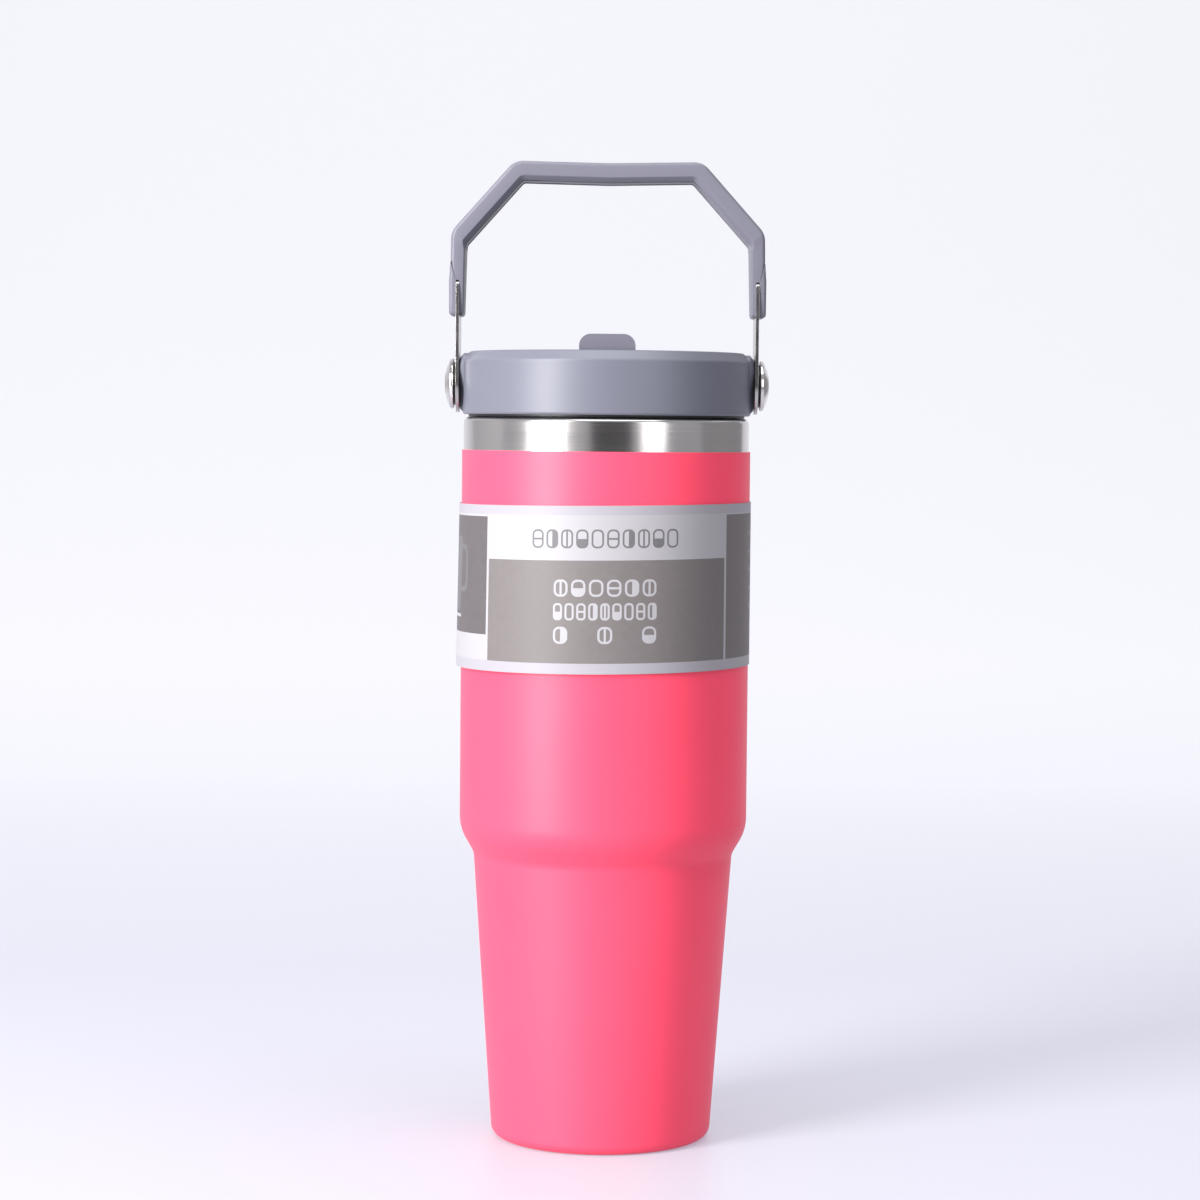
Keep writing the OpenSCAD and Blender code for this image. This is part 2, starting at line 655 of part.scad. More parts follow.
module strap_shape() {
    translate([0, pivot_z]) circle(r = strap_w / 2);
    polygon(outline([[-strap_w / 2, pivot_z], [strap_w / 2, pivot_z], [strap_w / 2, strap_top_z, 1.5],
                     [-strap_w / 2, strap_top_z, 1.5]], 5));
}

module strap() color(steel)
    difference() {
        across(strap_x, strap_t) strap_shape();
        about_pivot() translate([0, 0, strap_x - 1]) cylinder(r = shoulder_r + run_gap, h = strap_t + 2);
        strap_pin_solids();
    }

module strap_room() {
    translate([strap_x, -grip_w, leg_end_z - 1])
        cube([seam_x + 2 - strap_x, 2 * grip_w, strap_top_z - leg_end_z + 1]);
    rotate([90, 0, 0]) linear_extrude(2 * grip_w, center = true)
        polygon([[strap_x + strap_t - eps, strap_top_z - eps], [seam_x + 2, strap_top_z - eps],
                 [seam_x + 2, seam_z + (seam_z - strap_top_z) * 2 / (seam_x - strap_x - strap_t)],
                 [seam_x, seam_z], [strap_x + strap_t, strap_top_z]]);
    strap_pin_solids();
}

module grip() color(grey)
    difference() {
        intersection() {
            rotate([90, 0, 0]) linear_extrude(grip_w, center = true)
                arch_band(0, 0, grip_t, leg_t, leg_end_z);
            across(-body_d, 2 * body_d) grip_side();
        }
        for (y = [-groove_y, groove_y])
            translate([0, y, 0]) rotate([90, 0, 0]) linear_extrude(groove_w, center = true)
                arch_band(grip_t - groove_h, leg_t + eps, grip_t + 1, leg_t + 1, seam_z);
        arch_bevel();
        mirror([0, 1, 0]) arch_bevel();
        strap_room();
        left() strap_room();
    }

// ---- nodes ----------------------------------------------------------------------------------

outer_shell();
powder_coat();
inner_liner();
base_plate();
base_cover();
seal_bead();
getter();
label_sleeve();
rim_gasket();
lid_shell();
lid_plug();
port_seal();
vent_seal();
straw();
spout();
left() spout_pin();  // spout_pin_left
spout_pin();  // spout_pin_right
left() pivot_insert();  // pivot_insert_left
pivot_insert();  // pivot_insert_right
left() pivot_screw();  // pivot_screw_left
pivot_screw();  // pivot_screw_right
left() pivot_cap();  // pivot_cap_left
pivot_cap();  // pivot_cap_right
left() inner_washer();  // inner_washer_left
inner_washer();  // inner_washer_right
left() outer_washer();  // outer_washer_left
outer_washer();  // outer_washer_right
left() strap();  // strap_left
strap();  // strap_right
left() strap_cover();  // strap_cover_left
strap_cover();  // strap_cover_right
left() strap_pin_solids();  // strap_pins_left
strap_pin_solids();  // strap_pins_right
grip();
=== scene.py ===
import bpy, bmesh, json
from math import acos, atan2, cos, pi, radians, sin, sqrt, tan
from mathutils import Matrix, Vector


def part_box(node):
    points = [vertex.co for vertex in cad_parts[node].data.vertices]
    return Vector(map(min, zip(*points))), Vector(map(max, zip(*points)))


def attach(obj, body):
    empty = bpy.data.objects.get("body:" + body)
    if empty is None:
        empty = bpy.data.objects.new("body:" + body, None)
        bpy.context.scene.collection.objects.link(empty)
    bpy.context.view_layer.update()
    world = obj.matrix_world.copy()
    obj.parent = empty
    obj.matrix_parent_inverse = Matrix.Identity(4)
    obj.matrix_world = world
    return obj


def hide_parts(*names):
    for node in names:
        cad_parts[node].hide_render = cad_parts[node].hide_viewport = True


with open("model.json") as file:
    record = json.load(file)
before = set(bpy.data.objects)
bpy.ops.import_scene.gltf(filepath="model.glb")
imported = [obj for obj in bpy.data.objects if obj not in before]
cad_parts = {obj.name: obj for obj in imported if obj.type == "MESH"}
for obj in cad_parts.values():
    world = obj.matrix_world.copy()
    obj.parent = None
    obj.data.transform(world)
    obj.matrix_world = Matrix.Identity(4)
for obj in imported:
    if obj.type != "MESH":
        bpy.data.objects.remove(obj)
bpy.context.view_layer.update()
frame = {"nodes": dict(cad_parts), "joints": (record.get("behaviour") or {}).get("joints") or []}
scene = bpy.context.scene
mm = 0.001
print("frame loaded:", len(frame["nodes"]), "nodes")

# sizes that several pieces share, all taken from the frame

def farCorner(node):
    return [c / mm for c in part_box(node)[1]]


bodyR, coatTop = farCorner("powder_coat")[0], farCorner("powder_coat")[2]
rimZ = farCorner("outer_shell")[2]
strapX, strapTop = farCorner("strap_right")[0], farCorner("strap_right")[2]
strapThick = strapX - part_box("strap_right")[0].x / mm
joints = {joint["name"]: joint for joint in frame["joints"]}
pivotZ = joints["handle_swing"]["pos_m"][2] / mm


# shader sockets that can be added, multiplied and so on

class Signal:
    def __init__(self, look, socket):
        self.look, self.socket = look, socket

    def sum(self, operation, *terms):
        return self.look.node("ShaderNodeMath", {"operation": operation}, dict(enumerate(terms)))

    def __add__(self, other): return self.sum("ADD", self, other)
    def __radd__(self, other): return self.sum("ADD", other, self)
    def __sub__(self, other): return self.sum("SUBTRACT", self, other)
    def __rsub__(self, other): return self.sum("SUBTRACT", other, self)
    def __mul__(self, other): return self.sum("MULTIPLY", self, other)
    def __rmul__(self, other): return self.sum("MULTIPLY", other, self)
    def __truediv__(self, other): return self.sum("DIVIDE", self, other)
    def __rtruediv__(self, other): return self.sum("DIVIDE", other, self)
    def __pow__(self, other): return self.sum("POWER", self, other)
    def __mod__(self, other): return self.sum("FLOORED_MODULO", self, other)
    def __abs__(self): return self.sum("ABSOLUTE", self)
    def __gt__(self, other): return self.sum("GREATER_THAN", self, other)
    def __lt__(self, other): return self.sum("LESS_THAN", self, other)
    def floor(self): return self.sum("FLOOR", self)
    def lowest(self, other): return self.sum("MINIMUM", self, other)
    def highest(self, other): return self.sum("MAXIMUM", self, other)
    def within(self, low, high): return (self > low) * (self < high)


class Look:
    def __init__(self, name):
        self.material = bpy.data.materials.new(name)
        self.material.use_nodes = True
        self.tree = self.material.node_tree
        self.tree.nodes.clear()

    def node(self, kind, settings=None, inputs=None, output=0):
        made = self.tree.nodes.new(kind)
        for key, value in (settings or {}).items():
            setattr(made, key, value)
        for key, value in (inputs or {}).items():
            if isinstance(value, Signal):
                self.tree.links.new(value.socket, made.inputs[key])
            else:
                made.inputs[key].default_value = value
        return Signal(self, made.outputs[output]) if made.outputs else None

    def place(self):
        return self.node("ShaderNodeTexCoord", output="Object")

    def axes(self, vector):
        return [self.node("ShaderNodeSeparateXYZ", None, {0: vector}, axis) for axis in "XYZ"]

    def stretched(self, vector, scale):
        return self.node("ShaderNodeVectorMath", {"operation": "MULTIPLY"}, {0: vector, 1: scale})

    def noise(self, vector, scale, detail=2, roughness=0.5):
        return self.node("ShaderNodeTexNoise", None, {"Vector": vector, "Scale": scale, "Detail": detail,
                                                      "Roughness": roughness})

    def level(self, value, low, high, newLow, newHigh):
        return self.node("ShaderNodeMapRange", None, {0: value, 1: low, 2: high, 3: newLow, 4: newHigh})

    def mix(self, factor, first, second):
        shades = [shade if isinstance(shade, Signal) else (*shade, 1) for shade in (first, second)]
        return self.node("ShaderNodeMix", {"data_type": "RGBA"}, {0: factor, 6: shades[0], 7: shades[1]}, 2)

    def bump(self, height, distance, strength=1):
        return self.node("ShaderNodeBump", None, {"Height": height, "Distance": distance, "Strength": strength})

    def roundedBox(self, x, y, halfX, halfY, radius):  # distance to the box's edge, negative inside
        outX, outY = abs(x) - halfX + radius, abs(y) - halfY + radius
        corner = (outX.highest(0) ** 2 + outY.highest(0) ** 2) ** 0.5
        return corner + outX.highest(outY).lowest(0) - radius

    def surface(self, **inputs):
        names = {key: key.replace("_", " ") for key in inputs}
        sockets = {}
        for key, value in inputs.items():
            isShade = isinstance(value, tuple) and len(value) == 3
            sockets[names[key]] = (*value, 1) if isShade else value
        shader = self.node("ShaderNodeBsdfPrincipled", None, sockets)
        self.node("ShaderNodeOutputMaterial", None, {"Surface": shader})
        return self.material


# mesh helpers

def roundCorners(corners, steps=8):  # corners are (x, y) or (x, y, radius)
    points = []
    for i, corner in enumerate(corners):
        here = Vector(corner[:2])
        radius = corner[2] if len(corner) > 2 else 0
        if radius <= 0:
            points.append(here)
            continue
        back = (Vector(corners[i - 1][:2]) - here).normalized()
        ahead = (Vector(corners[(i + 1) % len(corners)][:2]) - here).normalized()
        half = acos(max(-1, min(1, back.dot(ahead)))) / 2
        centre = here + (back + ahead).normalized() * radius / sin(half)
        first = here + back * radius / tan(half) - centre
        last = here + ahead * radius / tan(half) - centre
        start = atan2(first.y, first.x)
        sweep = (atan2(last.y, last.x) - start + pi) % (2 * pi) - pi
        for k in range(steps + 1):
            angle = start + sweep * k / steps
            points.append(centre + radius * Vector((cos(angle), sin(angle))))
    return points


def meshObject(name, verts, faces, sharp=35):
    mesh = bpy.data.meshes.new(name)
    mesh.from_pydata([tuple(mm * c for c in v) for v in verts], [], faces)
    build = bmesh.new()
    build.from_mesh(mesh)
    bmesh.ops.remove_doubles(build, verts=build.verts, dist=1e-7)
    bmesh.ops.recalc_face_normals(build, faces=build.faces)
    build.to_mesh(mesh)
    build.free()
    mesh.shade_smooth()
    mesh.set_sharp_from_angle(angle=radians(sharp))
    piece = bpy.data.objects.new(name, mesh)
    scene.collection.objects.link(piece)
    return piece


def loftRings(rings, closed=False):  # faces between equal rings of points, with end caps unless closed
    count = len(rings[0])
    verts = [point for ring in rings for point in ring]
    faces = []
    last = len(rings) if closed else len(rings) - 1
    for i in range(last):
        base, top = i * count, (i + 1) % len(rings) * count
        for k in range(count):
            after = (k + 1) % count
            faces.append((base + k, base + after, top + after, top + k))
    if not closed:
        faces.append(tuple(range(count - 1, -1, -1)))
        faces.append(tuple(range(last * count, last * count + count)))
    return verts, faces


def lathe(name, profile, place, turns):  # profile is a closed line, and place gives a point of it at an angle
    rings = []
    for k in range(turns):
        angle = 2 * pi * k / turns
        rings.append([Vector(place(spot, cos(angle), sin(angle))) for spot in profile])
    return meshObject(name, *loftRings(rings, closed=True))


def finished(piece, material, body, slot, *nodes):
    piece.data.materials.clear()
    piece.data.materials.append(material)
    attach(piece, body)
    if nodes:
        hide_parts(*nodes)
    return piece


def coat(material, *nodes):  # puts a material on nodes that stay as they are
    for name in nodes:
        slots = frame["nodes"][name].data.materials
        slots.clear()
        slots.append(material)


def soften(width, *names):  # welds a node, rounds its edges by width and evens out its shading
    crease = radians(40)
    for name in names:
        piece = frame["nodes"][name]
        piece.modifiers.new("weld", "WELD").merge_threshold = 0.001 * mm
        if width:
            bevel = piece.modifiers.new("rounded_edges", "BEVEL")
            bevel.width, bevel.segments = width * mm, 3
            bevel.limit_method, bevel.angle_limit = "ANGLE", crease
        piece.modifiers.new("creases", "EDGE_SPLIT").split_angle = crease
        piece.modifiers.new("even_shading", "WEIGHTED_NORMAL").keep_sharp = True


# camera, lights and room

view = dict(lens=97.5, sensor=36, place=(-0.0015, -1.0056, 0.2214), lookDown=3.11, roll=0.51, nearest=0.05)
camera = bpy.data.objects.new("camera", bpy.data.cameras.new("camera"))
camera.data.lens = view["lens"]
camera.data.sensor_width = view["sensor"]
camera.data.clip_start = view["nearest"]
camera.matrix_world = (Matrix.Translation(view["place"])
                       @ Matrix.Rotation(radians(90 - view["lookDown"]), 4, "X")
                       @ Matrix.Rotation(radians(view["roll"]), 4, "Z"))
scene.collection.objects.link(camera)
scene.camera = camera
scene.view_settings.view_transform = "Standard"

# the sweep runs from front to wallY, and its glow rises between the From and To distances; all in metres
room = dict(tint=(0.28, 0.28, 0.30), floorGlow=(0.33, 0.33, 0.40), wallGlow=(0.60, 0.60, 0.63),
            nearFrom=-0.9, nearTo=-0.35, glowFrom=0.3, glowTo=1.3, wallY=1.9, front=-4, height=4, halfWidth=5,
            bend=0.9, bendSteps=24, ambient=(0.95, 0.95, 1.0), ambientLevel=0.5)


def makeRoom():
    profile = [(room["front"], 0), (room["wallY"] - room["bend"], 0)]
    for k in range(1, room["bendSteps"] + 1):
        angle = pi / 2 * k / room["bendSteps"]
        profile.append((room["wallY"] - room["bend"] * (1 - sin(angle)), room["bend"] * (1 - cos(angle))))
    profile.append((room["wallY"], room["height"]))
    verts = [(x / mm, y / mm, z / mm) for y, z in profile for x in (-room["halfWidth"], room["halfWidth"])]
    faces = [(2 * k, 2 * k + 1, 2 * k + 3, 2 * k + 2) for k in range(len(profile) - 1)]
    sweep = meshObject("studio_sweep", verts, faces)
    if any(face.normal.z < -0.5 or face.normal.y > 0.5 for face in sweep.data.polygons):
        sweep.data.flip_normals()
    look = Look("pale_sweep")
    place = look.place()
    grain = look.noise(place, 3, 4)
    shade = look.mix(grain, room["tint"], tuple(0.985 * c for c in room["tint"]))
    depth = look.axes(place)[1]
    near = look.mix(look.level(depth, room["nearFrom"], room["nearTo"], 0, 1), (0, 0, 0), room["floorGlow"])
    lit = look.mix(look.level(depth, room["glowFrom"], room["glowTo"], 0, 1), near, room["wallGlow"])
    sweep.data.materials.append(look.surface(Base_Color=shade, Roughness=0.45, Specular_IOR_Level=0.3,
                                             Emission_Color=lit, Emission_Strength=1.0))
    world = bpy.data.worlds.new("studio_air")
    world.use_nodes = True
    air = world.node_tree.nodes["Background"].inputs
    air[0].default_value = (*room["ambient"], 1)
    air[1].default_value = room["ambientLevel"]
    scene.world = world


aimHeight = 0.15  # the height that lamps and cards face

# azimuth is measured from the camera's side, to the right; radiance is the brightness of the lamp's face
lamps = dict(
    keyBox=dict(azimuth=-48, distance=1.25, height=0.54, width=0.48, tall=1.1, radiance=24.5,
                tint=(1, 0.985, 0.99)),
    rightBox=dict(azimuth=37.5, distance=1.3, height=0.5, width=0.48, tall=0.7, radiance=2.3,
                  tint=(1, 0.98, 1)),
    topBox=dict(azimuth=15, distance=0.3, height=1.5, width=1.2, tall=1.0, radiance=3.8,
                tint=(1, 1, 1)))


def makeLamps():
    for name, lamp in lamps.items():
        light = bpy.data.lights.new(name, "AREA")
        light.shape = "RECTANGLE"
        light.size, light.size_y = lamp["width"], lamp["tall"]
        light.energy = lamp["radiance"] * pi * lamp["width"] * lamp["tall"]
        light.color = lamp["tint"]
        holder = bpy.data.objects.new(name, light)
        holder.matrix_world = facingMug(lamp)
        holder.visible_camera = False
        scene.collection.objects.link(holder)


# cards of a given shade beside the camera, which streak the bright steel
cards = dict(
    behindCamera=dict(azimuth=4, distance=1.9, height=0.5, width=1.15, tall=1.3, shade=0.10),
    farRight=dict(azimuth=111, distance=1.3, height=0.35, width=1.5, tall=1.0, shade=0.24),
    farLeft=dict(azimuth=-112, distance=1.4, height=0.35, width=1.2, tall=1.0, shade=0.5))


def makeCards():
    for name, card in cards.items():
        x, y = card["width"] / 2 / mm, card["tall"] / 2 / mm
        board = meshObject("card_" + name, [(-x, -y, 0), (x, -y, 0), (x, y, 0), (-x, y, 0)], [(0, 1, 2, 3)])
        board.matrix_world = facingMug(card)
        board.data.materials.append(plain("card_" + name, (card["shade"],) * 3, 0.8, 0.0, 40))
        board.visible_camera = False


def facingMug(thing):  # the place of a lamp or card, turned to face the tumbler
    side = radians(thing["azimuth"])
    place = Vector((thing["distance"] * sin(side), -thing["distance"] * cos(side), thing["height"]))
    aim = Vector((0, 0, aimHeight)) - place
    return Matrix.Translation(place) @ aim.to_track_quat("-Z", "Y").to_matrix().to_4x4()


makeRoom()
makeLamps()
print("camera, room and lamps ready")


# materials

paint = dict(bright=(0.90, 0.064, 0.126), deep=(0.88, 0.060, 0.120), smooth=0.43, rough=0.47, gloss=0.34,
             cloudSize=25, peelSize=900, peelDepth=0.00003)


def satinCoat():
    look = Look("coral_powder_coat")
    place = look.place()
    peel = look.noise(place, paint["peelSize"], 3, 0.55)
    cloud = look.noise(place, paint["cloudSize"], 3)
    shade = look.mix(look.level(cloud, 0.3, 0.7, 0, 1), paint["bright"], paint["deep"])
    rough = look.level(cloud, 0.3, 0.7, paint["smooth"], paint["rough"])
    return look.surface(Base_Color=shade, Roughness=rough, Specular_IOR_Level=paint["gloss"],
                        Normal=look.bump(peel, paint["peelDepth"], 0.35))


# streaks run along the axes where across is small
def brushedSteel(name, across, shade=(0.62, 0.60, 0.59), roughness=0.24, depth=0.000006):
    look = Look(name)
    place = look.place()
    grain = look.noise(look.stretched(place, across), 1, 4, 0.7)
    broad = look.noise(look.stretched(place, tuple(c * 0.12 for c in across)), 1, 2)
    tone = look.mix(look.level(grain, 0.3, 0.7, 0, 1), tuple(c * 0.93 for c in shade), shade)
    rough = look.level(grain, 0.25, 0.75, roughness - 0.05, roughness + 0.06) + (broad - 0.5) * 0.06
    return look.surface(Base_Color=tone, Metallic=1.0, Roughness=rough, Normal=look.bump(grain, depth, 0.5))


def mouldedPlastic(name, shade, roughness=0.42, grainDepth=0.00002):
    look = Look(name)
    place = look.place()
    grain = look.noise(place, 1400, 2, 0.6)
    flow = look.noise(look.stretched(place, (14, 14, 40)), 1, 2)
    tone = look.mix(look.level(flow, 0.35, 0.65, 0, 1), shade, tuple(c * 0.965 for c in shade))
    rough = look.level(flow, 0.3, 0.7, roughness - 0.02, roughness + 0.03)
    return look.surface(Base_Color=tone, Roughness=rough, Specular_IOR_Level=0.4,
                        Normal=look.bump(grain, grainDepth, 0.3))


def plain(name, shade, roughness, metallic=0.0, grain=800, depth=0.00002):
    look = Look(name)
    texture = look.noise(look.place(), grain, 3)
    tone = look.mix(look.level(texture, 0.3, 0.7, 0, 1), shade, tuple(c * 0.9 for c in shade))
    rough = look.level(texture, 0.3, 0.7, roughness - 0.04, roughness + 0.04)
    return look.surface(Base_Color=tone, Roughness=rough, Metallic=metallic, Normal=look.bump(texture, depth, 0.4))


makeCards()
coralCoat = satinCoat()
bandSteel = brushedSteel("round_brushed_steel", (16, 16, 5200), roughness=0.18, depth=0.000003)
satinSteel = brushedSteel("satin_liner_steel", (60, 60, 900), roughness=0.3)
baseSteel = brushedSteel("spun_base_steel", (300, 300, 300), roughness=0.3)
strapSteel = brushedSteel("strap_steel", (900, 3500, 260), (0.5, 0.485, 0.48), 0.24, 0.00004)
capSteel = plain("polished_cap_steel", (0.72, 0.70, 0.69), 0.13, 1.0, 60, 0.000001)
screwSteel = plain("polished_screw_steel", (0.66, 0.64, 0.63), 0.18, 1.0, 60, 0.000001)
pinSteel = plain("ground_pin_steel", (0.6, 0.59, 0.58), 0.3, 1.0)
brass = plain("turned_brass", (0.72, 0.5, 0.2), 0.3, 1.0)
lidPlastic = mouldedPlastic("lid_plastic", (0.132, 0.137, 0.170))
gripPlastic = mouldedPlastic("grip_plastic", (0.142, 0.141, 0.174))
spoutPlastic = mouldedPlastic("spout_plastic", (0.130, 0.128, 0.160))
milkyPlastic = plain("milky_plug_plastic", (0.55, 0.57, 0.6), 0.2, 0.0, 300)
softClear = plain("milky_silicone", (0.5, 0.52, 0.54), 0.4)
softBlack = plain("black_silicone", (0.008, 0.008, 0.009), 0.45)
nylon = plain("black_nylon", (0.012, 0.012, 0.013), 0.4)
solder = plain("glass_solder", (0.03, 0.035, 0.03), 0.2)
pellet = plain("getter_pellet", (0.12, 0.12, 0.13), 0.6, 0.6)

coat(satinSteel, "inner_liner")
coat(baseSteel, "base_plate", "base_cover")
coat(solder, "seal_bead")
coat(pellet, "getter")
coat(softBlack, "rim_gasket", "vent_seal")
coat(softClear, "port_seal")
coat(milkyPlastic, "lid_plug", "straw")
coat(lidPlastic, "lid_shell")
coat(spoutPlastic, "spout")
for side in ("left", "right"):
    coat(pinSteel, "spout_pin_" + side, "strap_pins_" + side)
    coat(brass, "pivot_insert_" + side)
    coat(nylon, "inner_washer_" + side, "outer_washer_" + side)
    coat(strapSteel, "strap_" + side)
soften(0, "inner_liner", "base_plate", "base_cover", "rim_gasket", "lid_plug")
soften(0.15, "lid_shell", "spout")
soften(0.12, "strap_left", "strap_right")
print("materials ready")


# vessel

vessel = dict(baseR=33.9, coneTopR=40.1, shoulderZ=88.5, shoulderAngle=30, shoulderRound=14, waistRound=6,
              footRound=3.3, footWidth=2.8, footEdge=0.4, footReturn=3, coatThick=0.15, coatEdge=0.08,
              steelThick=0.6, bandStep=0.5, rimRound=1.8, rimLap=0.2, turns=224)


def bodyCorners(inset):  # cone, waist and brow, moved in square to the coated outside
    lean = atan2(vessel["coneTopR"] - vessel["baseR"], vessel["shoulderZ"])
    slope = radians(vessel["shoulderAngle"])
    browZ = vessel["shoulderZ"] + (bodyR - vessel["coneTopR"]) / tan(slope)

    def moved(r, z, before, after):
        sumX, sumY = -cos(before) - cos(after), sin(before) + sin(after)
        scale = inset / (1 + cos(before - after))
        return r + scale * sumX, z + scale * sumY

    foot = (vessel["baseR"] + inset * tan(lean) - inset / cos(lean), inset, vessel["footRound"] - inset)
    waist = (*moved(vessel["coneTopR"], vessel["shoulderZ"], lean, slope), vessel["waistRound"] + inset)
    brow = (*moved(bodyR, browZ, slope, 0), vessel["shoulderRound"] - inset)
    return [foot, waist, brow]


def upright(spot, along, across):
    return spot[0] * along, spot[0] * across, spot[1]


def makeVessel():
    footR = vessel["baseR"] - vessel["footRound"]
    footIn = footR - vessel["footWidth"]
    thick, wall, turns = vessel["coatThick"], vessel["steelThick"], vessel["turns"]
    underCoat = bodyR - thick
    skin = [(footR, 0), *bodyCorners(0), (bodyR, coatTop, vessel["coatEdge"]), (underCoat, coatTop),
            *reversed(bodyCorners(thick)), (footR, thick)]
    skin = lathe("powder_coat_skin", roundCorners(skin, 20), upright, turns)
    finished(skin, coralCoat, "vessel", "coral_coat", "powder_coat")
    bandR = bodyR - vessel["bandStep"]
    lapR = bandR - vessel["rimRound"] - vessel["rimLap"]
    steel = [(footIn, 0, vessel["footEdge"]), (footR, 0), (footR, thick), *bodyCorners(thick),
             (underCoat, coatTop), (bandR, coatTop), (bandR, rimZ, vessel["rimRound"]), (lapR, rimZ),
             (lapR, rimZ - wall), (bandR - wall, rimZ - wall, vessel["rimRound"] - wall),
             (bandR - wall, coatTop - 1), (underCoat - wall, coatTop - 2),
             *reversed(bodyCorners(thick + wall)), (footIn + wall, thick + wall),
             (footIn + wall, vessel["footReturn"]), (footIn, vessel["footReturn"])]
    steel = lathe("outer_steel_wall", roundCorners(steel, 16), upright, turns)
    finished(steel, bandSteel, "vessel", "bare_steel", "outer_shell")


makeVessel()
print("vessel built")


# printed sleeve

sleeve = dict(middle=172.1, height=50, lean=0.66, thick=0.25, lap=14, snug=0.12, slack=0.3, flare=0.75,
              turns=240, rows=12)


def makeSleeve():
    lap = pi - radians(sleeve["lap"])
    tilt = tan(radians(sleeve["lean"]))
    heights = [sleeve["height"] * (k / sleeve["rows"] - 0.5) for k in range(sleeve["rows"] + 1)]
    angles = sorted([-pi + 2 * pi * k / sleeve["turns"] for k in range(sleeve["turns"])] + [lap, lap + 0.002])
    rings = []
    for angle in angles:
        loose = (1 - sin(angle)) / 2
        lift = sleeve["thick"] if angle > lap + 0.001 else 0

        def at(v, depth):
            slack = sleeve["snug"] + loose * (sleeve["slack"] + sleeve["flare"] * (0.5 - v / sleeve["height"]))
            r = bodyR + slack + depth
            x = r * sin(angle)
            return Vector((x, -r * cos(angle), sleeve["middle"] + v + x * tilt))

        rings.append([at(v, sleeve["thick"] + lift) for v in heights] + [at(v, 0) for v in reversed(heights)])
    piece = meshObject("printed_sleeve_band", *loftRings(rings, closed=True), 40)
    unwrapped = piece.data.uv_layers.new(name="sleeve_millimetres")  # the sleeve laid flat, for its print
    for face in piece.data.polygons:
        middle = atan2(face.center.x, -face.center.y)
        for corner in face.loop_indices:
            spot = piece.data.vertices[piece.data.loops[corner].vertex_index].co / mm
            turn = (atan2(spot.x, -spot.y) - middle + pi) % (2 * pi) - pi + middle
            rise = spot.z - sleeve["middle"] - spot.x * tilt
            unwrapped.data[corner].uv = (turn * (bodyR + 0.5), rise)
    return piece


# places on the flat sleeve in millimetres, from the middle of its front
# the darkest taupe here is the left panel's print with painted shade added for the tumbler's left side
printed = dict(taupe=(0.132, 0.118, 0.116), white=(0.335, 0.327, 0.345), silver=(0.30, 0.288, 0.315),
               taupeWithPaintedShade=(0.082, 0.073, 0.076), ink=(0.11, 0.108, 0.112), fibre=(0.4, 0.4, 0.4), top=22.2, low=-21.8,
               left=-39.7, right=41.6, split=8.8, gap=1.0, back=138, pictureLow=-14.1, pictureTop=21.5,
               listTop=21.8, cupAt=-66, cupHalf=11.5, listLow=-9.5, listHigh=18.5, listPitch=5.6)
# rows of marks: middle, width of the row, how many, height, width and stroke of each, first kind
markRows = ((0.6, 32, 6, 5.1, 4.3, 0.66, 1), (-6.4, 32, 9, 5.1, 2.8, 0.62, 3), (-13.4, 40, 3, 5.1, 4.4, 0.66, 4))
scaleRow = (15.2, 46, 10, 5.6, 3.7, 0.55, 2)


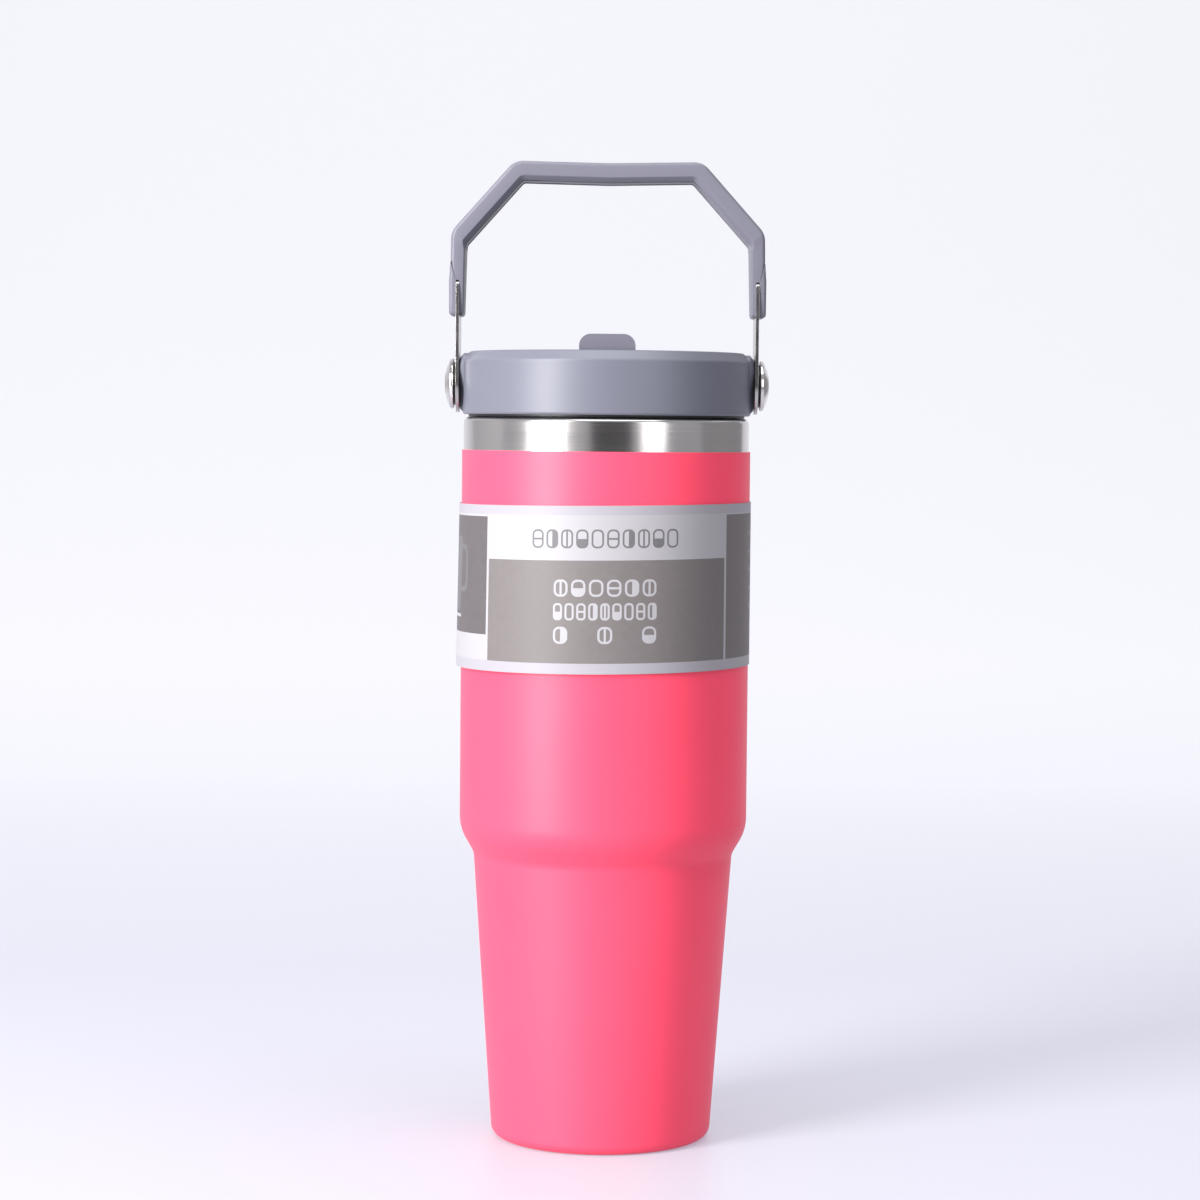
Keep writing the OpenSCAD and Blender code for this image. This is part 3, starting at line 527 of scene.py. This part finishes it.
def sleevePrint():
    look = Look("sleeve_print")
    flat = look.node("ShaderNodeUVMap", {"uv_map": "sleeve_millimetres"})
    u, v = look.axes(flat)[:2]
    low, back = printed["low"], printed["back"]
    inside = v.within(low, printed["top"])
    panel = u.within(printed["left"], printed["right"]) * v.within(low, printed["split"])
    onLeft = (u.within(-back, printed["left"] - printed["gap"])
              * v.within(printed["pictureLow"], printed["pictureTop"]))
    onRight = u.within(printed["right"] + printed["gap"], back) * v.within(low, printed["listTop"])
    dark = (panel + onLeft + onRight).lowest(1)

    def marks(middle, width, count, tall, wide, stroke, first):  # a row of meaningless rounded marks
        pitch = width / count
        along = (u + width / 2) / pitch
        kind = (along.floor() * 7 + first) % 5
        x, y = (along % 1 - 0.5) * pitch, v - middle
        edge = look.roundedBox(x, y, wide / 2, tall / 2, wide * 0.42)
        fills = (abs(x) < stroke * 0.5, abs(y) < stroke * 0.5, y < 0, x > 0)
        ring = edge > -stroke
        for k, fill in enumerate(fills):
            ring = ring.highest(kind.within(k + 0.5, k + 1.5) * fill)
        return u.within(-width / 2, width / 2) * (edge < 0) * ring

    first, second, third = (marks(*row) for row in markRows)
    cup = look.roundedBox(u - printed["cupAt"], v - 3.5, 7.2 - (3.5 - v) * 0.09, printed["cupHalf"], 2.2)
    handle = look.roundedBox(u - printed["cupAt"] - 8.8, v - 5.5, 4.5, 7.2, 3.2)
    picture = (cup < 0).highest((handle < 0) * (handle > -1.4)) * onLeft
    underline = look.roundedBox(u - printed["cupAt"], (v + 9.6) % 100, 7.5, 0.9, 0.8) < 0
    row = (v - printed["listLow"]) % printed["listPitch"] - printed["listPitch"] / 2
    rows = v.within(printed["listLow"], printed["listHigh"]) * u.within(50, 100)
    dots = rows * (look.roundedBox(u - 62.5, row, 0.65, 0.65, 0.6) < 0)
    bars = rows * (look.roundedBox(u - 78, row, 11, 0.75, 0.7) < 0)
    pale = ((first + second + third) * panel + (underline + dots + bars) * (onLeft + onRight)).lowest(1)
    shade = look.mix(inside * u.within(-back, back), printed["silver"], printed["white"])
    # the left panel is the taupe print darkened to about six tenths of it: painted shade on the tumbler's left
    # side
    shade = look.mix(onLeft, look.mix(dark, shade, printed["taupe"]), printed["taupeWithPaintedShade"])
    shade = look.mix(pale, shade, printed["white"])
    shade = look.mix(marks(*scaleRow), shade, printed["ink"])
    shade = look.mix(picture, shade, printed["ink"])
    grain = look.noise(look.place(), 500, 3)
    shade = look.mix(grain * 0.07, shade, printed["fibre"])
    ripple = look.noise(look.stretched(look.place(), (30, 30, 45)), 1, 2)
    return look.surface(Base_Color=shade, Roughness=look.level(grain, 0.3, 0.7, 0.48, 0.54),
                        Specular_IOR_Level=0.3, Normal=look.bump(ripple, 0.0002, 0.5))


finished(makeSleeve(), sleevePrint(), "vessel", "printed_sleeve", "label_sleeve")
print("sleeve built")


# pivots: domed caps turned about the X axis, and the screws in them

pivot = dict(capR=7.85, rim=1.3, dome=2.5, headR=4.0, headGap=0.15, bore=2.0, shoulder=0.8, turns=96)


def makePivots():
    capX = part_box("pivot_cap_right")[0].x / mm
    capR, rim, dome, bore = (pivot[key] for key in ("capR", "rim", "dome", "bore"))
    seatR = pivot["headR"] + pivot["headGap"]
    # as (radius, distance outwards)
    cap = [(bore, 0), (capR - 0.6, 0, 0.3), (capR, 0.35, 0.25), (capR - 0.25, rim, 0.6),
           (pivot["headR"] + pivot["shoulder"], dome, 1.2), (seatR, dome, 0.1), (seatR, rim), (bore, rim)]
    for side, sign in (("left", -1), ("right", 1)):
        def sideways(spot, along, across):
            return sign * (capX + spot[1]), spot[0] * along, pivotZ + spot[0] * across

        disc = lathe("pivot_dome_cap_" + side, roundCorners(cap, 14), sideways, pivot["turns"])
        finished(disc, capSteel, "lid", "cap_steel", "pivot_cap_" + side)
        coat(screwSteel, "pivot_screw_" + side)
        soften(0.1, "pivot_screw_" + side)


makePivots()
print("pivots built")


# grip and strap covers

grip = dict(top=301.2, knee=279.6, kneeOut=47.9, legEnd=254.0, splay=0.55, proud=0.1, seam=271.0, thick=5.7,
            legThick=4.4, width=20.0, legWidth=15.2, flat=57.4, dip=0.55, outerBend=6.0, innerBend=1.6, edge=1.2,
            bevel=1.3, legBevel=0.4, bevelWide=1.5, grooveDeep=0.9, grooveWide=5.0, grooveAt=5.5, endRound=1.1,
            seamGap=0.1, archFrom=274.5, archFade=4.5, coverRound=1.1)
freeSide = 99  # further out than any point of the handle


def legOut(z):
    return grip["kneeOut"] + grip["splay"] * (grip["knee"] - z) / (grip["knee"] - grip["legEnd"])


def archCorners(depth, legDepth, bend):  # from the right leg round to the left one, moved in by the depths
    slope = atan2(grip["kneeOut"] - grip["flat"] / 2, grip["top"] - grip["knee"])
    lean = -atan2(grip["splay"], grip["knee"] - grip["legEnd"])

    def moved(x, z, first, second, inFirst, inSecond):
        across = cos(first - second)
        one = (inFirst - inSecond * across) / (1 - across ** 2)
        two = (inSecond - inFirst * across) / (1 - across ** 2)
        return x - one * cos(first) - two * cos(second), z - one * sin(first) - two * sin(second)

    knee = moved(grip["kneeOut"], grip["knee"], lean, slope, legDepth, depth)
    bar = moved(grip["flat"] / 2, grip["top"], slope, pi / 2, depth, depth)
    half = [(*knee, bend), (*bar, bend)]
    return half + [(0, bar[1] - grip["dip"], 60)] + [(-x, z, r) for x, z, r in reversed(half)]


def archStations(depth, legDepth, bend, levels, bends=5, steps=14, between=9):  # points right round the arch
    right = [Vector((legOut(z) - legDepth, z)) for z in levels]
    left = [Vector((-spot.x, spot.y)) for spot in reversed(right)]
    arcs = roundCorners([right[-1], *archCorners(depth, legDepth, bend), left[0]], steps)[1:-1]
    path = right
    for k in range(bends):
        arc = arcs[k * (steps + 1):(k + 1) * (steps + 1)]
        path = path + [path[-1].lerp(arc[0], j / between) for j in range(1, between)] + arc
    return path + [path[-1].lerp(left[0], j / between) for j in range(1, between)] + left


def legWidth(z):
    share = max(0, min(1, (z - grip["legEnd"]) / (grip["knee"] - grip["legEnd"])))
    return grip["legWidth"] + (grip["width"] - grip["legWidth"]) * share


def gripSection(width, share):  # as (across, depth): share is 0 in the legs and 1 in the grooved arch
    half, edge = width / 2, grip["edge"]
    thick = grip["legThick"] + (grip["thick"] - grip["legThick"]) * share
    bevel = grip["legBevel"] + (grip["bevel"] - grip["legBevel"]) * share
    far, near = grip["grooveAt"] + grip["grooveWide"] / 2, grip["grooveAt"] - grip["grooveWide"] / 2
    far = min(far, half - grip["bevelWide"] - 0.3)
    deep = thick - grip["grooveDeep"] * max(0.03, share)
    right = [(half, 0, edge), (half, thick - bevel, 0.15 + 0.2 * share), (half - grip["bevelWide"], thick, 0.25),
             (far, thick, 0.15), (far - 0.2, deep, 0.2), (near + 0.2, deep, 0.2), (near, thick, 0.2)]
    return thick, roundCorners(right + [(-y, d, r) for y, d, r in reversed(right)], 5)


def coverLimit(z):  # how far out the grip reaches beside the strap and its cover
    if z < strapTop:
        return strapX - strapThick - 0.02
    share = (z - strapTop) / (grip["seam"] - strapTop)
    return strapX + share * (legOut(grip["seam"]) - strapX) if share < 1 else freeSide


def endInset(z):  # how far the rounded end of a leg draws in
    left = max(0, 1 - (z - grip["legEnd"]) / grip["endRound"])
    return grip["endRound"] * (1 - sqrt(1 - left * left))


def legLevels(*marks):  # heights of the stations in a leg
    return [grip["legEnd"] + grip["endRound"] * (1 - cos(pi / 2 * k / 6)) for k in range(7)] + list(marks)


def makeGrip():
    levels = legLevels(258, 261, strapTop - 0.01, strapTop + 0.01, 266.5, 268.5, 269.9, grip["seam"] - 0.01,
                       grip["seam"] + 0.01, 272.5, 274)
    outer = archStations(0, 0, grip["outerBend"], levels)
    inner = archStations(grip["thick"], grip["legThick"], grip["innerBend"], levels)
    rings = []
    for out, into in zip(outer, inner):
        width, inset = legWidth(out.y), endInset(out.y)
        share = max(0, min(1, (out.y - grip["archFrom"]) / grip["archFade"]))
        thick, section = gripSection(width, share)
        ring = []
        for y, depth in section:
            y = max(inset - width / 2, min(width / 2 - inset, y))
            depth = max(inset, min(thick - inset, depth))
            spot = out.lerp(into, depth / thick)
            limit = coverLimit(spot.y) if out.y < levels[-1] else freeSide
            ring.append(Vector((max(-limit, min(limit, spot.x)), y, spot.y)))
        rings.append(ring)
    piece = meshObject("grip_moulding", *loftRings(rings), 32)
    finished(piece, gripPlastic, "handle", "grip_plastic", "grip")


def makeCovers():
    low = legOut(grip["legEnd"]) + grip["proud"]
    for side, sign in (("left", -1), ("right", 1)):
        rings = []
        for z in legLevels(258, 261, 263, strapTop, 266, 267, 268, 269, 269.8, 270.2, 270.5):
            inset, half = endInset(z), legWidth(z) / 2
            share = max(0, (z - strapTop) / (grip["seam"] - strapTop))
            near = strapX + share * (legOut(grip["seam"]) - strapX) + (grip["seamGap"] if share else 0.01)
            far = max(low + share * (legOut(grip["seam"]) - low) - inset, near + 0.03)
            edge = min(grip["coverRound"], 0.8 * (far - near))
            loop = roundCorners([(near, inset - half), (far, inset - half, edge), (far, half - inset, edge),
                                 (near, half - inset)], 6)
            rings.append([Vector((sign * x, y, z)) for x, y in loop])
        piece = meshObject("strap_cover_moulding_" + side, *loftRings(rings), 32)
        finished(piece, gripPlastic, "handle", "grip_plastic", "strap_cover_" + side)


makeGrip()
makeCovers()
print("handle built")
